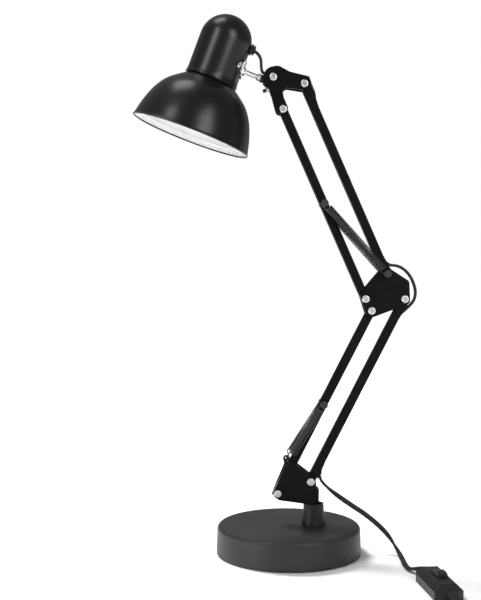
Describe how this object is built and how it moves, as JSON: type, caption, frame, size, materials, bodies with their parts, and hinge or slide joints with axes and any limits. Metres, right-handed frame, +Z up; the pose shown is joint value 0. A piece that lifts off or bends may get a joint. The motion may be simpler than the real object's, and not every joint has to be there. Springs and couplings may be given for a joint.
{
  "type": "desk lamp",
  "caption": "Black two-section swing-arm desk lamp with spring-balanced parallelogram arms, a bell shade with tall neck and a round weighted base.",
  "frame": {"origin": "centre of the round base's underside, where it rests on the desk", "axes": "+Z up; +X from the lamp's centre towards the elbow's side, away from the shade; -Y towards the viewer of the picture"},
  "size_m": [0.3087, 0.377, 0.5566],
  "materials": {
    "black_paint": "gloss black paint",
    "cast_weight": "rough casting",
    "zinc_steel": "zinc plated",
    "chrome_trim": "polished",
    "black_plastic": "satin moulded",
    "nylon": "natural nylon",
    "felt_pad": "soft pad",
    "brass_contacts": "plain",
    "cord_jacket": "smooth jacket"
  },
  "bodies": {
    "base": {"base_cover": "black_paint", "base_weight": "cast_weight", "base_plate": "zinc_steel", "base_pad": "felt_pad", "base_screws": "zinc_steel", "post_socket": "black_plastic", "socket_nut": "zinc_steel", "cord_to_switch": "cord_jacket", "cord_to_coil": "cord_jacket", "cord_coil": "cord_jacket", "cord_to_plug": "cord_jacket", "switch_base": "black_plastic", "switch_cover": "black_plastic", "plug_body": "black_plastic", "plug_pins": "brass_contacts"},
    "foot_bracket": {"foot_front_plate": "black_paint", "foot_rear_plate": "black_paint", "swivel_post": "black_paint", "foot_screws": "zinc_steel", "foot_nuts": "zinc_steel", "lower_springs": "black_paint"},
    "lower_left_arm": {"lower_left_tube": "black_paint", "lower_left_bushes": "nylon", "lower_left_spring_pin": "black_paint"},
    "lower_right_arm": {"lower_right_tube": "black_paint", "lower_right_bushes": "nylon", "lower_arm_cord": "cord_jacket"},
    "elbow": {"elbow_front_plate": "black_paint", "elbow_rear_plate": "black_paint", "elbow_screws": "zinc_steel", "elbow_nuts": "zinc_steel", "elbow_spring_pin": "black_paint", "elbow_cord": "cord_jacket", "upper_springs": "black_paint"},
    "upper_left_arm": {"upper_left_tube": "black_paint", "upper_left_bushes": "nylon", "upper_left_spring_pin": "black_paint"},
    "upper_right_arm": {"upper_right_tube": "black_paint", "upper_right_bushes": "nylon", "upper_arm_cord": "cord_jacket"},
    "head_bracket": {"head_front_plate": "black_paint", "head_rear_plate": "black_paint", "head_screws": "zinc_steel", "head_nuts": "zinc_steel", "clamp_plate": "black_paint", "head_cord": "cord_jacket"},
    "clamp": {"clamp_screw": "zinc_steel", "clamp_cap": "black_plastic"},
    "swivel": {"swivel_block": "black_plastic"},
    "shade": {"shade_bell": "black_paint", "neck_cap": "black_paint", "hinge_saddle": "chrome_trim", "saddle_screws": "zinc_steel", "stem": "zinc_steel", "stem_nuts": "zinc_steel", "lampholder_body": "black_plastic", "lampholder_contacts": "brass_contacts", "shade_ring": "black_plastic", "cord_gland": "black_plastic"},
    "switch_key": {"switch_rocker": "black_plastic"}
  },
  "joints": [
    {"name": "base_swivel", "type": "hinge", "parent": "base", "child": "foot_bracket", "pos_m": [0.026, 0, 0.05], "axis": [0, 0, 1], "range_deg": [-150, 150], "deforming": ["cord_to_switch"]},
    {"name": "lower_arm_lean", "type": "hinge", "parent": "foot_bracket", "child": "lower_right_arm", "pos_m": [0.02252, 0, 0.07542], "axis": [0, 1, 0], "range_deg": [-40, 22], "deforming": ["cord_to_switch", "elbow_cord"]},
    {"name": "lower_left_link", "type": "hinge", "parent": "foot_bracket", "child": "lower_left_arm", "pos_m": [-0.0117, 0, 0.0633], "axis": [0, 1, 0], "range_deg": [-40, 22], "deforming": ["lower_springs"]},
    {"name": "elbow_level", "type": "hinge", "parent": "lower_right_arm", "child": "elbow", "pos_m": [0.11932, 0, 0.26459], "axis": [0, 1, 0], "range_deg": [-22, 40], "deforming": ["elbow_cord"]},
    {"name": "upper_arm_lean", "type": "hinge", "parent": "elbow", "child": "upper_right_arm", "pos_m": [0.10067, 0, 0.29059], "axis": [0, 1, 0], "range_deg": [-50, 24], "deforming": ["elbow_cord", "head_cord"]},
    {"name": "upper_left_link", "type": "hinge", "parent": "elbow", "child": "upper_left_arm", "pos_m": [0.07892, 0, 0.26459], "axis": [0, 1, 0], "range_deg": [-50, 24], "deforming": ["upper_springs"]},
    {"name": "head_level", "type": "hinge", "parent": "upper_right_arm", "child": "head_bracket", "pos_m": [0.01525, 0, 0.48517], "axis": [0, 1, 0], "range_deg": [-24, 50], "deforming": ["head_cord"]},
    {"name": "shade_tilt", "type": "hinge", "parent": "head_bracket", "child": "swivel", "pos_m": [-0.01659, 0, 0.49177], "axis": [0, -1, 0], "range_deg": [-60, 20], "deforming": ["head_cord"]},
    {"name": "shade_turn", "type": "hinge", "parent": "swivel", "child": "shade", "pos_m": [-0.02676, 0, 0.49055], "axis": [0.9367, 0, -0.3502], "range_deg": [-120, 120], "deforming": ["head_cord"]},
    {"name": "clamp_turn", "type": "hinge", "parent": "head_bracket", "child": "clamp", "pos_m": [-0.02169, 0, 0.48007], "axis": [0.9438, 0, 0.3305], "range_deg": [-90, 90]},
    {"name": "switch_rock", "type": "hinge", "parent": "base", "child": "switch_key", "pos_m": [0.1315, -0.1275, 0.011], "axis": [0.994, 0.1097, 0], "range_deg": [0, 10]}
  ],
  "couplings": [
    {"joint": "lower_left_link", "follows": "lower_arm_lean", "ratio": 1},
    {"joint": "elbow_level", "follows": "lower_arm_lean", "ratio": -1},
    {"joint": "upper_left_link", "follows": "upper_arm_lean", "ratio": 1},
    {"joint": "head_level", "follows": "upper_arm_lean", "ratio": -1}
  ]
}
